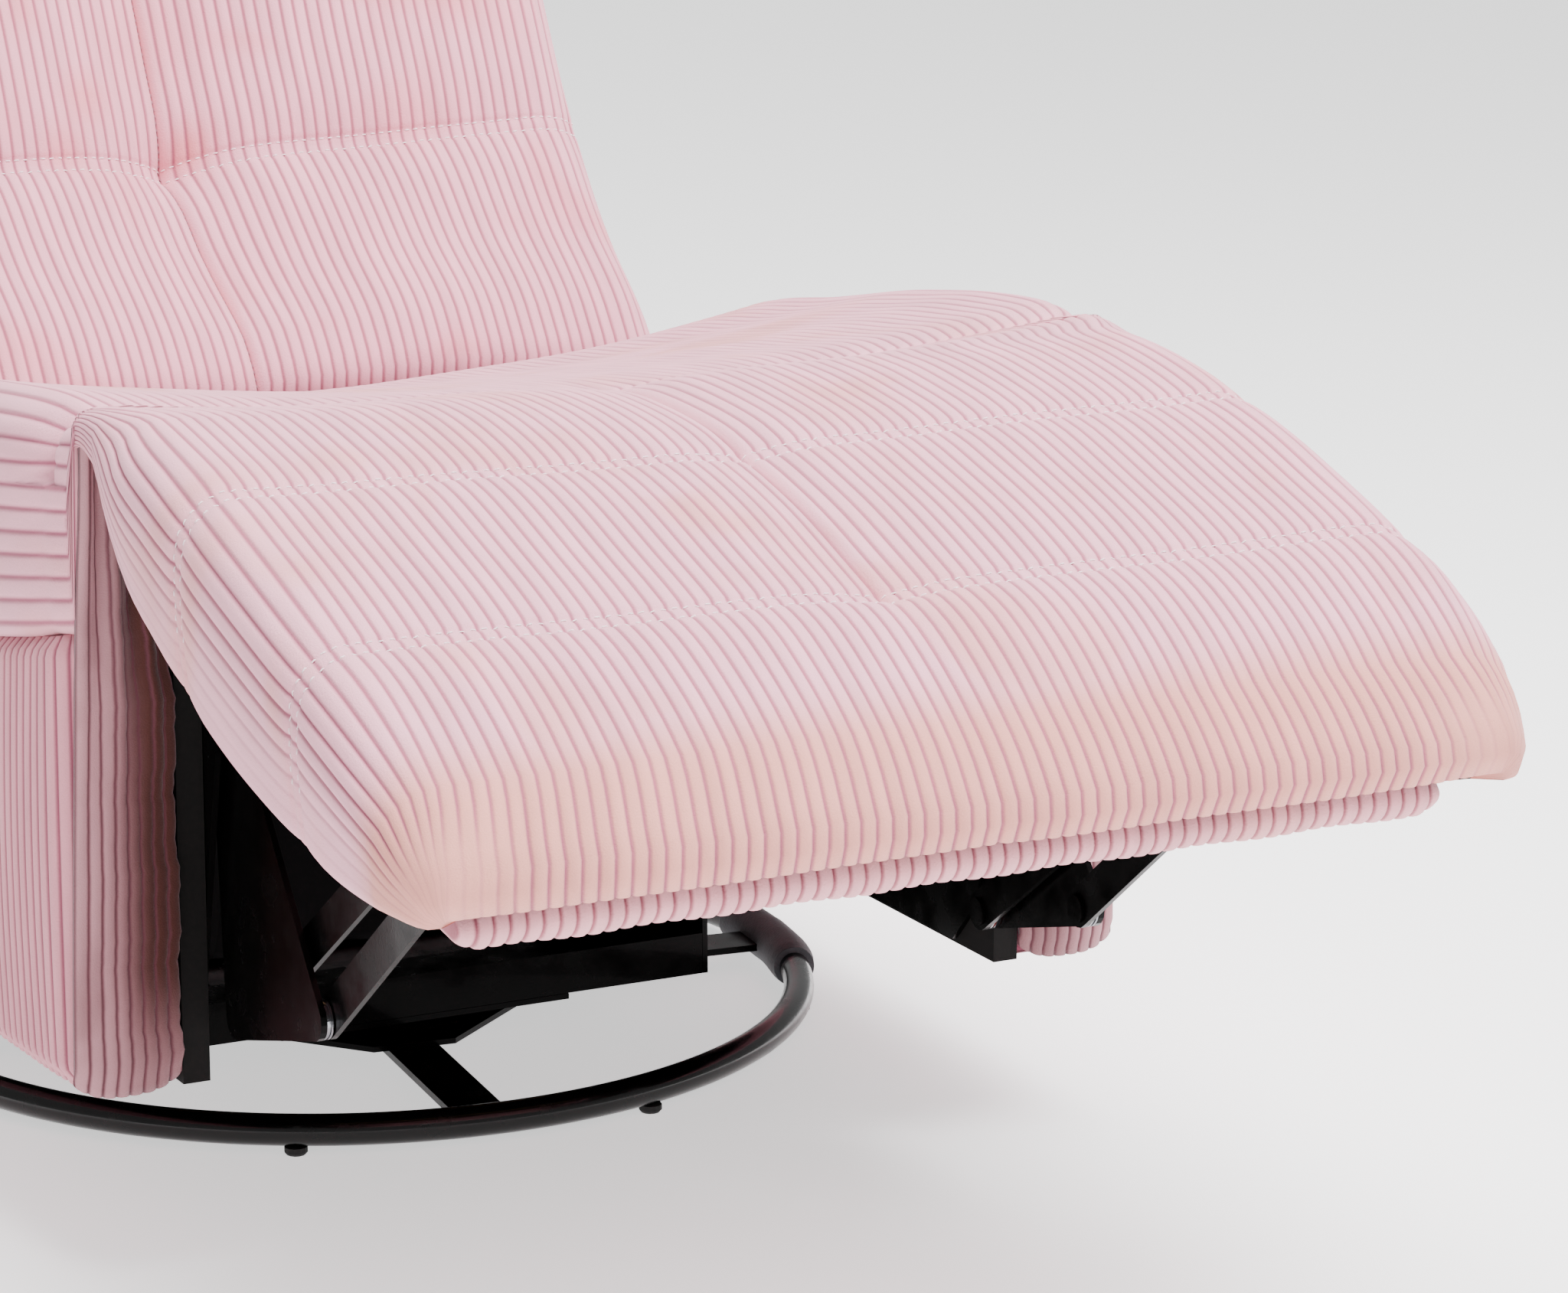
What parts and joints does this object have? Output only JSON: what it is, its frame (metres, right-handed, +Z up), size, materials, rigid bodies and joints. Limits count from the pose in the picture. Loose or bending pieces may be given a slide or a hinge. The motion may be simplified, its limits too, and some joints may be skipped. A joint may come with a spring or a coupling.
{
  "type": "glider recliner chair",
  "caption": "Armless swivel glider chair with ribbed upholstery, a reclining padded back and a chaise legrest that folds on a strap linkage.",
  "frame": {"origin": "on the floor, below the middle of the object's box", "axes": "+Z up; the seat faces -Y; +X to the right seen from the front"},
  "size_m": [0.77, 1.613, 0.9916],
  "materials": {
    "corduroy": "wide-wale brushed corduroy, pale pink",
    "black_steel": "gloss black powder coat on steel plate and tube",
    "rubber": "moulded rubber stud",
    "foam": "closed-cell foam sleeve, matt grey-black",
    "timber": "sawn softwood frame",
    "black_board": "black-faced plywood board",
    "spring_steel": "oil-tempered spring wire and bearing steel",
    "black_plastic": "moulded black plastic"
  },
  "bodies": {
    "base": {"base_arm_1": "black_steel", "base_arm_2": "black_steel", "base_arm_3": "black_steel", "base_arm_4": "black_steel", "base_ring": "black_steel", "hub_plate": "black_steel", "ring_foot_1": "rubber", "ring_foot_2": "rubber", "ring_foot_3": "rubber", "ring_foot_4": "rubber", "ring_foot_5": "rubber", "ring_foot_6": "rubber", "ring_foot_7": "rubber", "ring_foot_8": "rubber", "ring_sleeve": "foam", "swivel_race": "spring_steel"},
    "swivel": {"glider_channel_front": "black_steel", "glider_channel_rear": "black_steel", "glider_stanchion_left": "black_steel", "glider_stanchion_right": "black_steel", "swivel_plate": "black_steel"},
    "glide_front": {"glide_link_front_left": "black_steel", "glide_link_front_right": "black_steel"},
    "glide_rear": {"glide_link_rear_left": "black_steel", "glide_link_rear_right": "black_steel"},
    "seat": {"latch_cup": "black_plastic", "mechanism_plate_left": "black_steel", "mechanism_plate_right": "black_steel", "rear_panel": "corduroy", "recline_bracket_left": "black_steel", "recline_bracket_right": "black_steel", "seat_cushion": "corduroy", "seat_front_rail": "timber", "seat_rail_left": "black_steel", "seat_rail_right": "black_steel", "seat_rear_rail": "timber", "seat_spring_1": "spring_steel", "seat_spring_2": "spring_steel", "seat_spring_3": "spring_steel", "side_board_left": "black_board", "side_board_right": "black_board", "side_cover_left": "corduroy", "side_cover_right": "corduroy"},
    "back": {"back_cushion": "corduroy", "back_post_left": "timber", "back_post_right": "timber", "back_shell": "corduroy", "back_top_rail": "timber"},
    "legrest": {"legrest_board": "corduroy", "legrest_bracket_left": "black_steel", "legrest_bracket_right": "black_steel", "legrest_pad": "corduroy"},
    "crank": {"legrest_crank_left": "black_steel", "legrest_crank_right": "black_steel", "torque_tube": "black_steel"},
    "rear_straps": {"rear_strap_left": "black_steel", "rear_strap_right": "black_steel"},
    "front_straps": {"front_strap_left": "black_steel", "front_strap_right": "black_steel"},
    "latch": {"latch_paddle": "black_plastic"}
  },
  "joints": [
    {"name": "swivel_turn", "type": "hinge", "parent": "base", "child": "swivel", "pos_m": [0, 0.17053, 0.0327], "axis": [0, 0, 1], "continuous": true},
    {"name": "glide", "type": "hinge", "parent": "swivel", "child": "glide_front", "pos_m": [0, 0.04053, 0.2451], "axis": [1, 0, 0], "range_deg": [-18, 18]},
    {"name": "glide_rear_link", "type": "hinge", "parent": "swivel", "child": "glide_rear", "pos_m": [0, 0.30053, 0.2451], "axis": [1, 0, 0], "range_deg": [-18.1, 18.1]},
    {"name": "seat_hang", "type": "hinge", "parent": "glide_front", "child": "seat", "pos_m": [0, 0.04053, 0.1251], "axis": [1, 0, 0], "range_deg": [-18.1, 18.1]},
    {"name": "recline", "type": "hinge", "parent": "seat", "child": "back", "pos_m": [0, 0.32053, 0.28], "axis": [1, 0, 0], "range_deg": [-28, 12]},
    {"name": "legrest_fold", "type": "hinge", "parent": "seat", "child": "legrest", "pos_m": [0, -0.41947, 0.41], "axis": [1, 0, 0], "range_deg": [0, 66]},
    {"name": "crank_turn", "type": "hinge", "parent": "seat", "child": "crank", "pos_m": [0, -0.28947, 0.387], "axis": [1, 0, 0], "range_deg": [-0.5, 66]},
    {"name": "rear_strap_turn", "type": "hinge", "parent": "crank", "child": "rear_straps", "pos_m": [0, -0.30747, 0.163], "axis": [1, 0, 0], "range_deg": [-40, 0.5]},
    {"name": "front_strap_turn", "type": "hinge", "parent": "crank", "child": "front_straps", "pos_m": [0, -0.43847, 0.199], "axis": [1, 0, 0], "range_deg": [-40, 0.5]},
    {"name": "latch_pull", "type": "hinge", "parent": "seat", "child": "latch", "pos_m": [-0.38, 0.06053, 0.235], "axis": [0, 0, 1], "range_deg": [0, 30], "stiffness_Nm_per_rad": 0.6, "springref_deg": -8.59}
  ],
  "couplings": [
    {"joint": "glide_rear_link", "follows": "glide", "ratio": 1},
    {"joint": "seat_hang", "follows": "glide", "ratio": -1},
    {"joint": "crank_turn", "follows": "legrest_fold", "ratio": 0.811},
    {"joint": "rear_strap_turn", "follows": "legrest_fold", "ratio": -0.4272},
    {"joint": "front_strap_turn", "follows": "legrest_fold", "ratio": -0.5601}
  ]
}
